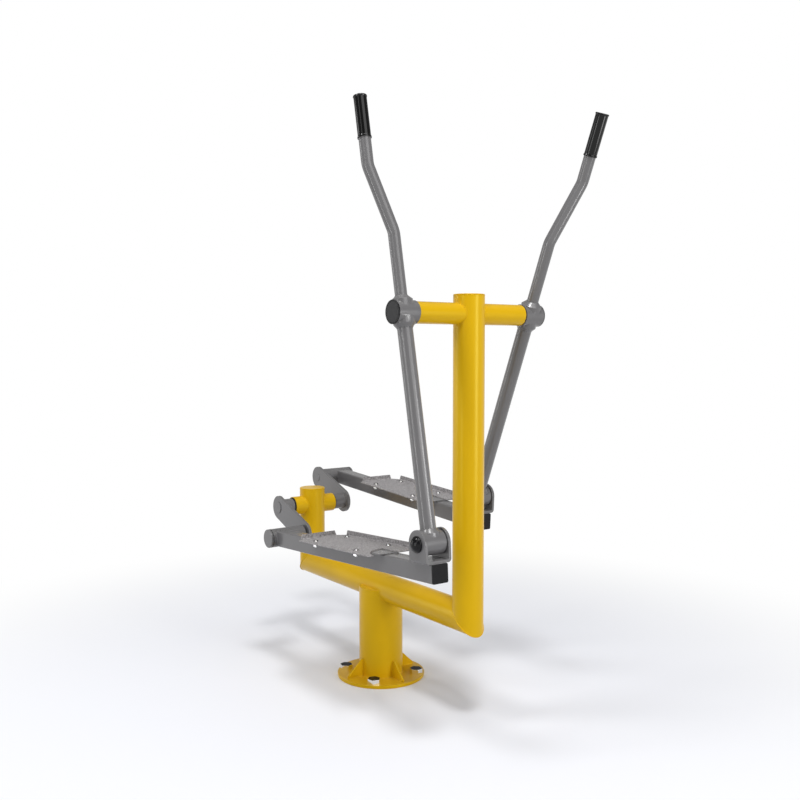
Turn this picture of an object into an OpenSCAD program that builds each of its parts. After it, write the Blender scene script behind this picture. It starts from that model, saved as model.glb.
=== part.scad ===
// Outdoor cross trainer: a bolted post frame, two hand levers and two foot bars on a shared crank.
// Origin at the centre of the base flange's underside, +Y towards the crank, +X to the right.

/* [Base] */
// Diameter of the round base flange
flange_d = 280; // [260:1:320]
// Thickness of the base flange
flange_t = 10; // [8:1:16]
// Pitch circle of the anchor bolts
anchor_pcd = 230; // [220:1:235]
// Diameter of each anchor hole
anchor_hole_d = 26; // [18:1:28]
// Width of an anchor nut across its flats
anchor_nut_af = 36; // [30:1:40]
// Height of an anchor nut
anchor_nut_h = 15; // [12:1:20]
// Bore of an anchor nut, the thread of the anchor stud
anchor_thread_d = 24; // [16:1:26]
// Diameter of the base post
base_post_d = 139.7; // [120:0.1:150]
// Wall of the base post
base_post_wall = 4; // [3:0.5:6]
// Height of a base gusset
gusset_h = 52; // [40:1:80]
// Reach of a base gusset out of the post
gusset_reach = 56; // [40:1:60]
// Thickness of a base gusset
gusset_t = 6; // [4:1:10]

/* [Frame] */
// Diameter of the front post, the main beam and the rear post
tube_d = 88.9; // [76.1:0.1:101.6]
// Wall of the frame tubes
tube_wall = 3; // [2.5:0.5:5]
// Distance between the front post and the rear post
post_spacing = 880; // [860:1:900]
// Height of the main beam's axis
beam_h = 290; // [270:1:300]
// Height of the crossbar's axis
crossbar_h = 1150; // [1140:1:1160]
// How far the front post stands above the crossbar's axis
front_post_over = 55; // [45:1:90]
// How far the rear post stands above the crank's axis
rear_post_over = 60; // [45:1:90]
// Thickness of a post's end cap
post_cap_t = 4; // [3:1:6]
// Diameter of the crossbar
crossbar_d = 60.3; // [57:0.1:63]
// Wall of the crossbar
crossbar_wall = 4; // [3:0.5:5]
// Distance of the levers and foot bars from the middle plane
side_x = 226; // [222:1:236]

/* [Levers] */
// Outer diameter of a hub or a knuckle barrel
barrel_d = 65; // [64:0.5:76]
// Length of a hub barrel
hub_len = 67; // [66:1:72]
// Distance from the crossbar's axis to the foot bar's pivot
lever_reach = 608; // [600:1:616]
// Diameter of the lower lever tube
lever_tube_d = 42.4; // [38:0.1:48.3]
// Wall of the lower lever tube
lever_tube_wall = 3; // [2:0.5:4]
// Diameter of the handle tube
handle_d = 33.7; // [28:0.1:35]
// Wall of the handle tube
handle_wall = 2.5; // [2:0.5:4]
// Height of the handle's lower bend over the crossbar's axis
bend_low = 220; // [190:1:250]
// Height of the handle's upper bend over the crossbar's axis
bend_high = 398; // [370:1:430]
// How far the handle leans outwards between its bends
handle_lean = 60; // [40:1:90]
// Radius of a handle bend, to the tube's middle
bend_r = 60; // [50:1:80]
// Height of the grip's lower end over the crossbar's axis
grip_low = 473; // [455:1:500]
// Length of the grip
grip_len = 118; // [100:1:140]
// Thickness of the grip's rubber
grip_wall = 1.2; // [1:0.1:4]

/* [Pivots] */
// Diameter of the hub's axle and of the crank shaft
shaft_d = 30; // [25:1:35]
// Outer diameter of the hub and crank bearings
big_bearing_d = 55; // [47:1:55]
// Width of the hub and crank bearings
big_bearing_w = 13; // [10:1:14]
// Outer diameter of the knuckle and bush bearings
small_bearing_d = 47; // [42:1:50]
// Width of the knuckle and bush bearings
small_bearing_w = 13; // [10:1:14]
// Diameter of the clevis bolt
pivot_bolt_d = 20; // [16:1:24]
// Diameter of the crank spindle
spindle_d = 25; // [20:1:30]
// Diameter of the thread on the axles and spindles
end_thread_d = 20; // [16:1:20]

/* [Crank] */
// Height of the crank's axis
crank_h = 495; // [490:1:500]
// Distance from the crank's axis to a spindle's axis
crank_r = 190; // [180:1:200]
// Angle of the crank at rest, the right arm's rise towards the rear
crank_deg = 20; // [10:1:30]
// Diameter of the crank's housing tube
housing_d = 63.5; // [60.3:0.1:70]
// Length of the crank's housing tube
housing_len = 160; // [140:1:164]
// Width of a crank arm, twice the radius of its round ends
arm_w = 81; // [70:1:90]
// Thickness of a crank arm
arm_t = 10; // [8:1:12]
// Diameter of a crank arm's boss
boss_d = 54; // [46:1:58]
// Distance of a crank arm's outer face from the middle plane
arm_out_x = 137; // [134:1:138]

/* [Foot bars] */
// Width and height of the square foot bar
bar_w = 50; // [40:1:60]
// Wall of the foot bar
bar_wall = 3; // [2:0.5:4]
// Outer corner radius of the foot bar
bar_corner_r = 4; // [3.5:0.5:6]
// Distance along the bar from its pivot to the spindle
bar_len = 826; // [816:1:836]
// How far the bar reaches ahead of its pivot
bar_nose = 41; // [40:1:60]
// Height of the pivot over the bar's top
pivot_over_bar = 50; // [47:1:56]
// Outer diameter of the rear bush
bush_d = 60.3; // [57:0.1:64]
// Outer width of the clevis bracket
clevis_w = 82; // [78:1:86]
// Length of the clevis bracket along the bar
clevis_len = 73; // [60:1:76]
// Thickness of the clevis plate
clevis_t = 8; // [6:0.5:9]

/* [Foot plates] */
// Distance from the bar's middle to the plate's plain edge
plate_left = 85; // [75:1:85]
// Distance from the bar's middle to the outside of the folded side edge
plate_right = 78; // [70:1:84]
// Distance from the bar's front end to the plate's front edge
plate_front = 215; // [190:1:235]
// Distance from the bar's front end to the plate's rear edge
plate_rear = 595; // [570:1:610]
// Thickness of the foot plate
plate_t = 3; // [2:0.5:5]
// Height of the folded edges over the plate
fold_h = 14; // [10:1:22]
// Thickness of the welded straps under the plate
strap_t = 3; // [2:0.5:6]
// Distance from the bar's front end to the front pair of plate bolts
plate_bolt_front = 306; // [290:1:320]
// Distance between the front and the rear pair of plate bolts
plate_bolt_pitch = 222; // [200:1:240]
// Distance across a pair of plate bolts
plate_bolt_gauge = 109; // [96:1:112]
// Diameter of a plate bolt
plate_bolt_d = 10; // [8:1:12]

/* [Hidden] */
$fn = 64;

// Colours of the finished pieces
yellow = [0.84, 0.67, 0.12];
grey = [0.55, 0.545, 0.55];
dark_grey = [0.27, 0.27, 0.27];
black = [0.09, 0.09, 0.09];
plate_grey = [0.65, 0.63, 0.63];
steel = [0.72, 0.73, 0.74];

// Clearances: overrun of a cut, weld gap, running gap between faces, play of a shaft in a bearing
cut = 1;
weld_gap = 0.1;
run_gap = 0.3;
shaft_play = 0.05;
hole_play = 0.5;

// The two sides of the machine
left = -1;
right = 1;

// Places of the main axes
front_y = -post_spacing / 2;
rear_y = post_spacing / 2;
pivot_rise = pivot_over_bar + bar_w / 2;

// The linkage at rest: each lever's angle follows from where the crank holds its spindle
coupler_len = norm([bar_len, pivot_rise]);
function pin_y(side) = post_spacing + side * crank_r * cos(crank_deg);
function pin_z(side) = crank_h - crossbar_h + side * crank_r * sin(crank_deg);
function pin_far(side) = norm([pin_y(side), pin_z(side)]);
function lever_deg(side) = atan2(pin_y(side), -pin_z(side))
    - acos((pow(lever_reach, 2) + pow(pin_far(side), 2) - pow(coupler_len, 2))
        / (2 * lever_reach * pin_far(side)));
function pivot_y(side) = lever_reach * sin(lever_deg(side));
function pivot_z(side) = -lever_reach * cos(lever_deg(side));
function bar_deg(side) = atan2(pin_z(side) - pivot_z(side), pin_y(side) - pivot_y(side))
    + atan2(pivot_rise, bar_len);

// Along the hub's axis, measured outwards from the lever's own plane
hub_cap_t = 3;
hub_cap_skirt = 8;
hub_in_len = 35;
hub_out = hub_len - hub_in_len;
lip = 1;
axle_seal_t = 2;
hub_bearing_in = -hub_in_len + lip;
washer_t = 2.5;
nut_h = 12;
hub_bearing_out_end = hub_out - hub_cap_skirt - 9;
thread_over = 1;
crossbar_end = side_x - hub_in_len - run_gap - axle_seal_t;

// Socket and collar of a hub or knuckle
collar_r = 30;
collar_slope = 11;
collar_low_slope = 10;
knuckle_collar_drop = 8;
socket_floor = 9;
knuckle_floor = 6;
lever_socket = big_bearing_d / 2 + socket_floor;
knuckle_socket = small_bearing_d / 2 + knuckle_floor;
tube_play = 0.1;

// Across the clevis, measured from the lever's own plane
ear_in = clevis_w / 2 - clevis_t;
ear_out = clevis_w / 2;
ear_washer_t = 1.7;
knuckle_half = ear_in - ear_washer_t - run_gap;

// Across the crank and the bush, measured from the middle plane
crank_seal_t = 3.7;
housing_end = housing_len / 2;
boss_in_x = housing_end + crank_seal_t + run_gap;
screw_head_t = 2.5;
open_gap = 1;
spindle_in_x = arm_out_x + screw_head_t + open_gap;
bush_seal_t = 1.7;
bush_in_x = spindle_in_x + bush_seal_t;
bush_reach = 36;
bush_out_x = side_x + bush_reach;
bush_ring_t = 2;
bush_cap_t = 7;

module rod_x(d, from, to)
    translate([from, 0, 0])
        rotate([0, 90, 0])
            cylinder(d = d, h = to - from);

module ring_x(d, bore, from, to)
    difference() {
        rod_x(d, from, to);
        rod_x(bore, from - cut, to + cut);
    }

// A hexagon nut or head along +Z with a chamfered top edge
module hex_nut(af, h, bore) {
    corner_d = af / cos(30);
    chamfer = (corner_d - af) / 2;
    difference() {
        intersection() {
            cylinder(d = corner_d, h = h, $fn = 6);
            union() {
                cylinder(d = corner_d, h = h - chamfer / 2);
                translate([0, 0, h - chamfer / 2])
                    cylinder(d1 = corner_d, d2 = corner_d - chamfer, h = chamfer / 2);
            }
        }
        translate([0, 0, -cut])
            cylinder(d = bore, h = h + 2 * cut);
    }
}

module both_sides() {
    children();
    mirror([1, 0, 0])
        children();
}

module on_side(side) {
    if (side < 0)
        mirror([1, 0, 0])
            children();
    else
        children();
}

// Frames of the moving pieces
module at_crossbar()
    translate([0, front_y, crossbar_h])
        children();

module at_crank()
    translate([0, rear_y, crank_h])
        children();

module lever_frame(side)
    at_crossbar()
        rotate([lever_deg(side), 0, 0])
            on_side(side)
                translate([side_x, 0, 0])
                    children();

// The bar's own frame: origin on the pivot axis, +Y along the bar to the rear, not mirrored
module bar_frame(side)
    translate([side * side_x, front_y + pivot_y(side), crossbar_h + pivot_z(side)])
        rotate([bar_deg(side), 0, 0])
            children();

// The crank's frame with +Y out along the arm and +X away from the middle plane
module crank_frame(side)
    at_crank()
        rotate([crank_deg + (side < 0 ? 180 : 0), 0, 0])
            on_side(side)
                children();

// Base

module base_flange() {
    color(yellow)
        difference() {
            cylinder(d = flange_d, h = flange_t);
            anchor_places()
                translate([0, 0, -cut])
                    cylinder(d = anchor_hole_d, h = flange_t + 2 * cut);
        }
}

module anchor_places()
    for (a = [45 : 90 : 315])
        rotate([0, 0, a])
            translate([anchor_pcd / 2, 0, 0])
                children();

module base_post() {
    color(yellow)
        difference() {
            translate([0, 0, flange_t])
                cylinder(d = base_post_d, h = beam_h - flange_t);
            translate([0, 0, flange_t - cut])
                cylinder(d = base_post_d - 2 * base_post_wall, h = beam_h - flange_t + 2 * cut);
            translate([0, base_post_d, beam_h])
                rotate([90, 0, 0])
                    cylinder(d = tube_d + 2 * weld_gap, h = 2 * base_post_d);
        }
}

module base_gussets() {
    snip = gusset_t;
    post_r = base_post_d / 2;
    color(yellow)
        for (a = [0 : 90 : 270])
            rotate([90, 0, a])
                translate([0, flange_t, -gusset_t / 2])
                    linear_extrude(gusset_t)
                        difference() {
                            polygon([[0, 0], [post_r + gusset_reach, 0],
                                [post_r + gusset_reach, snip], [post_r + snip, gusset_h],
                                [0, gusset_h]]);
                            translate([-cut, -cut])
                                square([post_r + weld_gap + cut, gusset_h + 2 * cut]);
                        }
}

module anchor_nuts() {
    top_t = 4;
    color(steel)
        anchor_places()
            translate([0, 0, flange_t])
                difference() {
                    hex_nut(anchor_nut_af, anchor_nut_h, 0);
                    translate([0, 0, -cut])
                        cylinder(d = anchor_thread_d, h = anchor_nut_h - top_t + cut);
                }
}

// Frame tubes, mitred at 45 degrees where they meet

// Side outline of the frame, extruded across it: points in Y and Z
module across(points)
    rotate([90, 0, 90])
        linear_extrude(2 * tube_d, center = true)
            polygon(points);

mitre = tube_d / 2 + 5 * cut;

module main_beam() {
    far_y = post_spacing;
    color(yellow)
        intersection() {
            difference() {
                translate([0, far_y, beam_h])
                    rotate([90, 0, 0])
                        cylinder(d = tube_d, h = 2 * far_y);
                translate([0, far_y + cut, beam_h])
                    rotate([90, 0, 0])
                        cylinder(d = tube_d - 2 * tube_wall, h = 2 * far_y + 2 * cut);
            }
            across([[front_y - mitre, beam_h - mitre], [rear_y + mitre, beam_h - mitre],
                [rear_y - mitre, beam_h + mitre], [front_y + mitre, beam_h + mitre]]);
        }
}

// One post: end is -1 at the front and 1 at the rear; hole_d is the crossing tube's diameter
module post(post_y, end, top_h, hole_d, hole_h) {
    bottom = beam_h - mitre;
    color(yellow)
        difference() {
            intersection() {
                translate([0, post_y, bottom])
                    difference() {
                        cylinder(d = tube_d, h = top_h - post_cap_t - bottom);
                        translate([0, 0, -cut])
                            cylinder(d = tube_d - 2 * tube_wall, h = top_h + 2 * cut);
                    }
                across([[post_y + end * mitre, beam_h - mitre],
                    [post_y - end * mitre, beam_h + mitre], [post_y - end * mitre, top_h],
                    [post_y + end * mitre, top_h]]);
            }
            translate([0, post_y, hole_h])
                rod_x(hole_d + 2 * weld_gap, -tube_d, tube_d);
        }
}

front_top_h = crossbar_h + front_post_over;
rear_top_h = crank_h + rear_post_over;

module front_post()
    post(front_y, -1, front_top_h, crossbar_d, crossbar_h);

module rear_post()
    post(rear_y, 1, rear_top_h, housing_d, crank_h);

// Discs that close the two posts, and the half-moon plates beside the beam on the base post
module post_caps() {
    ledge_d = base_post_d - 2 * base_post_wall - 2 * weld_gap;
    color(yellow) {
        for (p = [[front_y, front_top_h], [rear_y, rear_top_h]])
            translate([0, p[0], p[1] - post_cap_t])
                cylinder(d = tube_d, h = post_cap_t);
        translate([0, 0, beam_h - post_cap_t])
            difference() {
                cylinder(d = ledge_d, h = post_cap_t);
                translate([0, base_post_d, post_cap_t])
                    rotate([90, 0, 0])
                        cylinder(d = tube_d + 2 * weld_gap, h = 2 * base_post_d);
            }
    }
}

module crossbar()
    color(yellow)
        at_crossbar()
            ring_x(crossbar_d, crossbar_d - 2 * crossbar_wall, -crossbar_end, crossbar_end);

// Turned stub axles: a plug in the crossbar, a shoulder, the journal and a threaded end
module hub_axles() {
    plug_len = 22;
    shoulder = shaft_d + 6;
    shoulder_end = side_x + hub_bearing_in - run_gap;
    journal_end = side_x + hub_bearing_out_end + run_gap;
    thread_end = journal_end + washer_t + nut_h + thread_over;
    color(steel)
        at_crossbar()
            both_sides() {
                rod_x(crossbar_d - 2 * crossbar_wall, crossbar_end - plug_len, crossbar_end);
                rod_x(shoulder, crossbar_end, shoulder_end);
                rod_x(shaft_d - 2 * shaft_play, shoulder_end, journal_end);
                rod_x(end_thread_d, journal_end, thread_end);
            }
}

module axle_nuts() {
    washer_in = side_x + hub_bearing_out_end + run_gap;
    nut_af = 1.5 * end_thread_d;
    nut_bore = end_thread_d + 2 * shaft_play;
    color(steel)
        at_crossbar()
            both_sides() {
                ring_x(shaft_d + 8, nut_bore, washer_in, washer_in + washer_t);
                translate([washer_in + washer_t + weld_gap, 0, 0])
                    rotate([0, 90, 0])
                        hex_nut(nut_af, nut_h, nut_bore);
            }
}

// Crank housing

module crank_housing()
    color(yellow)
        at_crank()
            ring_x(housing_d, big_bearing_d, -housing_end, housing_end);

// A sealed ball bearing along X with shallow seal grooves in both faces
module bearing(d, bore, width, from) {
    groove = 0.6;
    race = (d - bore) / 8;
    difference() {
        ring_x(d, bore, from, from + width);
        ring_x(d - 2 * race, bore + 2 * race, from - cut, from + groove);
        ring_x(d - 2 * race, bore + 2 * race, from + width - groove, from + width + cut);
    }
}

module crank_bearings()
    color(steel)
        at_crank()
            both_sides()
                bearing(big_bearing_d, shaft_d, big_bearing_w,
                    housing_end - lip - big_bearing_w);

// Rubber rings at the crossbar's ends and at the crank housing's ends
module shaft_seals() {
    axle_shoulder = shaft_d + 6;
    color(black) {
        at_crossbar()
            both_sides()
                ring_x(crossbar_d, axle_shoulder, crossbar_end, crossbar_end + axle_seal_t);
        at_crank()
            both_sides()
                ring_x((housing_d + boss_d) / 2, shaft_d + 2 * run_gap, housing_end,
                    housing_end + crank_seal_t);
    }
}

// Crank

key_w = 8;
key_h = 7;
key_bed = 4;
key_len = 28;
key_from = boss_in_x + 6;
key_to = key_from + key_len;
key_z = shaft_d / 2 - key_bed;
screw_shank_d = 12;
screw_shank_len = 24;

module key_block(grow)
    translate([key_from - grow, -key_w / 2 - grow, key_z])
        cube([key_to - key_from + 2 * grow, key_w + 2 * grow, key_h + grow]);

module crank_shaft() {
    shaft_end = arm_out_x - lip;
    color(steel)
        at_crank()
            difference() {
                rod_x(shaft_d - 2 * shaft_play, -shaft_end, shaft_end);
                for (side = [left, right])
                    rotate([crank_deg + (side < 0 ? 180 : 0), 0, 0])
                        on_side(side) {
                            key_block(weld_gap);
                            rod_x(screw_shank_d + 2 * weld_gap,
                                arm_out_x - screw_shank_len - cut, arm_out_x);
                        }
            }
}

module crank_keys()
    color(steel) {
        crank_frame(left)
            key_block(0);
        crank_frame(right)
            key_block(0);
    }

module crank_arm(side) {
    arm_in_x = arm_out_x - arm_t;
    color(grey)
        crank_frame(side)
            difference() {
                union() {
                    rod_x(boss_d, boss_in_x, arm_out_x);
                    rod_x(arm_w, arm_in_x, arm_out_x);
                    translate([0, crank_r, 0])
                        rod_x(arm_w, arm_in_x, arm_out_x);
                    translate([arm_in_x, 0, -arm_w / 2])
                        cube([arm_t, crank_r, arm_w]);
                }
                rod_x(shaft_d, boss_in_x - cut, arm_out_x + cut);
                key_block(weld_gap);
                translate([0, crank_r, 0])
                    rod_x(spindle_d + 2 * weld_gap, arm_in_x - cut, arm_out_x + cut);
            }
}

module crank_end_screws() {
    head_d = shaft_d + 10;
    color(grey)
        at_crank()
            both_sides() {
                rod_x(head_d, arm_out_x, arm_out_x + screw_head_t);
                rod_x(screw_shank_d, arm_out_x - screw_shank_len, arm_out_x);
            }
}

// The welded roots of the two spindles, where the linkage is opened
module spindle_roots() {
    proud = 1.5;
    color(grey)
        for (side = [left, right])
            crank_frame(side)
                translate([0, crank_r, 0])
                    rod_x(spindle_d, arm_out_x - arm_t - proud, arm_out_x + screw_head_t);
}

// Levers

// A barrel along X with a round upright body, coned to the tubes above and below it; up_drop
// lowers the upper cone
module tee(half_in, half_out, up_d, down_d, up_drop) {
    barrel_r = barrel_d / 2;
    up_from = barrel_r - up_drop;
    rod_x(barrel_d, -half_in, half_out);
    if (up_d > 0) {
        cylinder(r = collar_r, h = up_from);
        translate([0, 0, up_from])
            cylinder(r1 = collar_r, r2 = up_d / 2 + lip, h = collar_slope);
    }
    if (down_d > 0)
        mirror([0, 0, 1]) {
            cylinder(r = collar_r, h = barrel_r);
            translate([0, 0, barrel_r])
                cylinder(r1 = collar_r, r2 = down_d / 2 + lip, h = collar_low_slope);
        }
}

module lever_hub(side) {
    mouth_d = big_bearing_d;
    waist_d = big_bearing_d - 5;
    color(grey)
        lever_frame(side)
            difference() {
                tee(hub_in_len, hub_out, handle_d, lever_tube_d, 0);
                rod_x(waist_d, -hub_in_len - cut, hub_out + cut);
                rod_x(mouth_d, -hub_in_len - cut, hub_bearing_in + big_bearing_w);
                rod_x(mouth_d, hub_bearing_out_end - big_bearing_w, hub_out + cut);
                translate([0, 0, lever_socket])
                    cylinder(d = handle_d + 2 * tube_play, h = barrel_d);
                translate([0, 0, -lever_socket - barrel_d])
                    cylinder(d = lever_tube_d + 2 * tube_play, h = barrel_d);
            }
}

module hub_bearings(side)
    color(steel)
        lever_frame(side) {
            bearing(big_bearing_d, shaft_d, big_bearing_w, hub_bearing_in);
            bearing(big_bearing_d, shaft_d, big_bearing_w, hub_bearing_out_end - big_bearing_w);
        }

// A flanged plastic cap with a shallow dish in its face and a skirt inside the barrel
module hub_cap(side) {
    rim = 3;
    dish = 0.8;
    skirt_wall = 3;
    color(dark_grey)
        lever_frame(side)
            difference() {
                union() {
                    rod_x(barrel_d, hub_out, hub_out + hub_cap_t);
                    rod_x(big_bearing_d - 2 * tube_play, hub_out - hub_cap_skirt, hub_out);
                }
                rod_x(barrel_d - 2 * rim, hub_out + hub_cap_t - dish, hub_out + hub_cap_t + cut);
                rod_x(big_bearing_d - 2 * skirt_wall, hub_out - hub_cap_skirt - cut, hub_out);
            }
}

module lever_tube(side) {
    top = -lever_socket;
    bottom = -lever_reach + knuckle_socket;
    color(grey)
        lever_frame(side)
            translate([0, 0, bottom])
                difference() {
                    cylinder(d = lever_tube_d, h = top - bottom);
                    translate([0, 0, -cut])
                        cylinder(d = lever_tube_d - 2 * lever_tube_wall,
                            h = top - bottom + 2 * cut);
                }
}

// The handle's run: straight, bent outwards, straight, bent back, straight to the grip; the
// straight stretches lap a little into the bends
lean_deg = handle_lean_deg();
bend_tangent = bend_r * tan(lean_deg / 2);
bend_thin = 0.1;
bend_lap = 0.5;
grip_cap_t = 2.5;
handle_top = grip_low + grip_len - grip_cap_t;

function handle_lean_deg() = atan2(handle_lean, bend_high - bend_low);

// A straight stretch of the handle tube along +Z
module handle_straight(len)
    linear_extrude(len)
        difference() {
            circle(d = handle_d);
            circle(d = handle_d - 2 * handle_wall);
        }

// A bent stretch in the XZ plane round the origin, a hair thinner than the straight ones
module handle_bend(from_deg)
    rotate([90, 0, 0])
        rotate([0, 0, from_deg])
            rotate_extrude(angle = lean_deg)
                translate([bend_r, 0])
                    difference() {
                        circle(d = handle_d - 2 * bend_thin);
                        circle(d = handle_d - 2 * handle_wall + 2 * bend_thin);
                    }

module handle(side) {
    first_end = bend_low - bend_tangent;
    last_start = bend_high + bend_tangent;
    lean_x = bend_r * (1 - cos(lean_deg));
    lean_z = bend_r * sin(lean_deg);
    mid_len = norm([handle_lean - 2 * lean_x, last_start - first_end - 2 * lean_z]);
    color(grey)
        lever_frame(side) {
            translate([0, 0, lever_socket])
                handle_straight(first_end - lever_socket + bend_lap);
            translate([bend_r, 0, first_end])
                handle_bend(180 - lean_deg);
            translate([lean_x, 0, first_end + lean_z])
                rotate([0, lean_deg, 0])
                    translate([0, 0, -bend_lap])
                        handle_straight(mid_len + 2 * bend_lap);
            translate([handle_lean - bend_r, 0, last_start])
                handle_bend(-lean_deg);
            translate([handle_lean, 0, last_start - bend_lap])
                handle_straight(handle_top - last_start + bend_lap);
        }
}

// A rubber sleeve over the handle's end, closed at the top, with a raised lip at both ends
module grip(side) {
    lip_t = 3;
    lip_out = 1.4;
    body_r = handle_d / 2 + grip_wall;
    color(black)
        lever_frame(side)
            translate([handle_lean, 0, grip_low])
                rotate_extrude()
                    polygon([[handle_d / 2, 0], [body_r + lip_out, 0],
                        [body_r + lip_out, lip_t], [body_r, 2 * lip_t],
                        [body_r, grip_len - 2 * lip_t], [body_r + lip_out, grip_len - lip_t],
                        [body_r + lip_out / 2, grip_len - lip_t / 4], [body_r - lip_out, grip_len],
                        [0, grip_len], [0, grip_len - grip_cap_t],
                        [handle_d / 2, grip_len - grip_cap_t]]);
}

module knuckle(side)
    color(grey)
        lever_frame(side)
            translate([0, 0, -lever_reach])
                difference() {
                    tee(knuckle_half, knuckle_half, lever_tube_d, 0, knuckle_collar_drop);
                    rod_x(small_bearing_d, -barrel_d, barrel_d);
                    translate([0, 0, knuckle_socket])
                        cylinder(d = lever_tube_d + 2 * tube_play, h = barrel_d);
                }

module knuckle_bearings(side)
    color(steel)
        lever_frame(side)
            translate([0, 0, -lever_reach]) {
                bearing(small_bearing_d, pivot_bolt_d, small_bearing_w, lip - knuckle_half);
                bearing(small_bearing_d, pivot_bolt_d, small_bearing_w,
                    knuckle_half - lip - small_bearing_w);
            }

// Foot bars

module rounded_square(w, r) {
    square([w, w - 2 * r], center = true);
    square([w - 2 * r, w], center = true);
    for (sx = [-1, 1], sy = [-1, 1])
        translate([sx * (w / 2 - r), sy * (w / 2 - r)])
            circle(r = r);
}

// A square bar along Y between two places, round at its corners
module square_run(w, r, from, to)
    translate([0, to, -pivot_rise])
        rotate([90, 0, 0])
            linear_extrude(to - from)
                rounded_square(w, r);

plug_face_t = 4;

module foot_bar(side) {
    tube_from = plug_face_t - bar_nose;
    inner_r = bar_corner_r - bar_wall;
    color(grey)
        bar_frame(side)
            difference() {
                square_run(bar_w, bar_corner_r, tube_from, bar_len);
                square_run(bar_w - 2 * bar_wall, inner_r, tube_from - cut, bar_len + cut);
                translate([0, bar_len, -pivot_rise])
                    rod_x(bush_d + 2 * weld_gap, -bar_w, bar_w);
            }
}

// Black plastic caps: the bar's front plug, the dome over the bolt's head, the inner nut cap
module black_caps(side) {
    spigot_len = 18;
    spigot_wall = 2;
    spigot_w = bar_w - 2 * bar_wall - 2 * tube_play;
    spigot_r = bar_corner_r - bar_wall;
    hollow_w = spigot_w - 2 * spigot_wall;
    color(black)
        bar_frame(side) {
            square_run(bar_w, bar_corner_r, -bar_nose, plug_face_t - bar_nose);
            difference() {
                square_run(spigot_w, spigot_r, plug_face_t - bar_nose,
                    plug_face_t + spigot_len - bar_nose);
                square_run(hollow_w, spigot_r, plug_face_t - bar_nose,
                    plug_face_t + spigot_len + cut - bar_nose);
            }
            on_side(side) {
                pivot_cap(ear_out, dome_r, dome_h);
                mirror([1, 0, 0])
                    pivot_cap(ear_out, dome_r - washer_t, nut_cap_h);
            }
        }
}

dome_r = 22;
dome_h = 17;
nut_cap_h = 8.5;
dome_wall = 2;
bolt_head_d = 28;
bolt_head_h = 4.5;
pivot_thread_d = 16;
pivot_nut_h = 4;

// A hollow dome that stands on a flat face at x = from
module pivot_cap(from, r, h) {
    edge = 3;
    translate([from, 0, 0])
        rotate([0, 90, 0])
            difference() {
                dome(r, h, edge);
                translate([0, 0, -cut])
                    dome(r - dome_wall, h - dome_wall + cut, edge + cut);
            }
}

// A dome: a straight edge and a spherical top
module dome(r, h, edge) {
    rise = h - edge;
    ball_r = (pow(r, 2) + pow(rise, 2)) / (2 * rise);
    cylinder(r = r, h = edge);
    intersection() {
        translate([0, 0, edge])
            cylinder(r = r, h = rise + cut);
        translate([0, 0, h - ball_r])
            sphere(r = ball_r);
    }
}

// Folded U bracket on the bar's top, its ears round at the top and bored for the bolt
module clevis(side) {
    fold_r = clevis_t + 2 * lip;
    ear_r = clevis_len / 2;
    color(grey)
        bar_frame(side)
            difference() {
                intersection() {
                    translate([0, ear_r, 0])
                        rotate([90, 0, 0])
                            linear_extrude(clevis_len)
                                difference() {
                                    u_outline(clevis_w / 2, pivot_over_bar, fold_r, ear_r);
                                    u_outline(ear_in, pivot_over_bar - clevis_t,
                                        fold_r - clevis_t, ear_r + cut);
                                }
                    union() {
                        rod_x(clevis_len, -clevis_w, clevis_w);
                        translate([-clevis_w, -ear_r, -pivot_over_bar])
                            cube([2 * clevis_w, clevis_len, pivot_over_bar]);
                    }
                }
                rod_x(pivot_bolt_d + hole_play, -clevis_w, clevis_w);
            }
}

// A U's filled outline with rounded lower corners; the pivot is at the origin
module u_outline(half, depth, r, top) {
    translate([-half, r - depth])
        square([2 * half, depth - r + top]);
    translate([r - half, -depth])
        square([2 * (half - r), 2 * r]);
    for (s = [-1, 1])
        translate([s * (half - r), r - depth])
            circle(r = r);
}

// Low-headed bolt through both ears and the knuckle's bearings, with a thin nut on its thread
module clevis_bolt(side) {
    socket_af = 14;
    shank_end = lip - ear_out;
    color(steel)
        bar_frame(side)
            on_side(side) {
                difference() {
                    union() {
                        rod_x(bolt_head_d, ear_out, ear_out + bolt_head_h);
                        rod_x(pivot_bolt_d - 2 * shaft_play, shank_end, ear_out);
                        rod_x(pivot_thread_d, -ear_out - pivot_nut_h - lip, shank_end);
                    }
                    translate([ear_out + bolt_head_h / 3, 0, 0])
                        rotate([0, 90, 0])
                            cylinder(d = socket_af / cos(30), h = bolt_head_h, $fn = 6);
                }
                translate([-ear_out, 0, 0])
                    rotate([0, -90, 0])
                        hex_nut(1.5 * pivot_thread_d, pivot_nut_h,
                            pivot_thread_d + 2 * shaft_play);
            }
}

module at_bush(side)
    bar_frame(side)
        translate([0, bar_len, -pivot_rise])
            on_side(side)
                translate([-side_x, 0, 0])
                    children();

bush_bearing_inset = 13;
bush_bearing_in = bush_in_x + lip;
bush_bearing_out = bush_out_x - bush_bearing_inset;

module rear_bush(side) {
    waist = small_bearing_d - 4;
    color(grey)
        at_bush(side)
            difference() {
                rod_x(bush_d, bush_in_x, bush_out_x);
                rod_x(waist, bush_in_x - cut, bush_out_x + cut);
                rod_x(small_bearing_d, bush_in_x - cut, bush_bearing_in + small_bearing_w);
                rod_x(small_bearing_d, bush_bearing_out - small_bearing_w, bush_out_x + cut);
            }
}

module bush_bearings(side)
    color(steel)
        at_bush(side) {
            bearing(small_bearing_d, spindle_d, small_bearing_w, bush_bearing_in);
            bearing(small_bearing_d, spindle_d, small_bearing_w,
                bush_bearing_out - small_bearing_w);
        }

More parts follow.
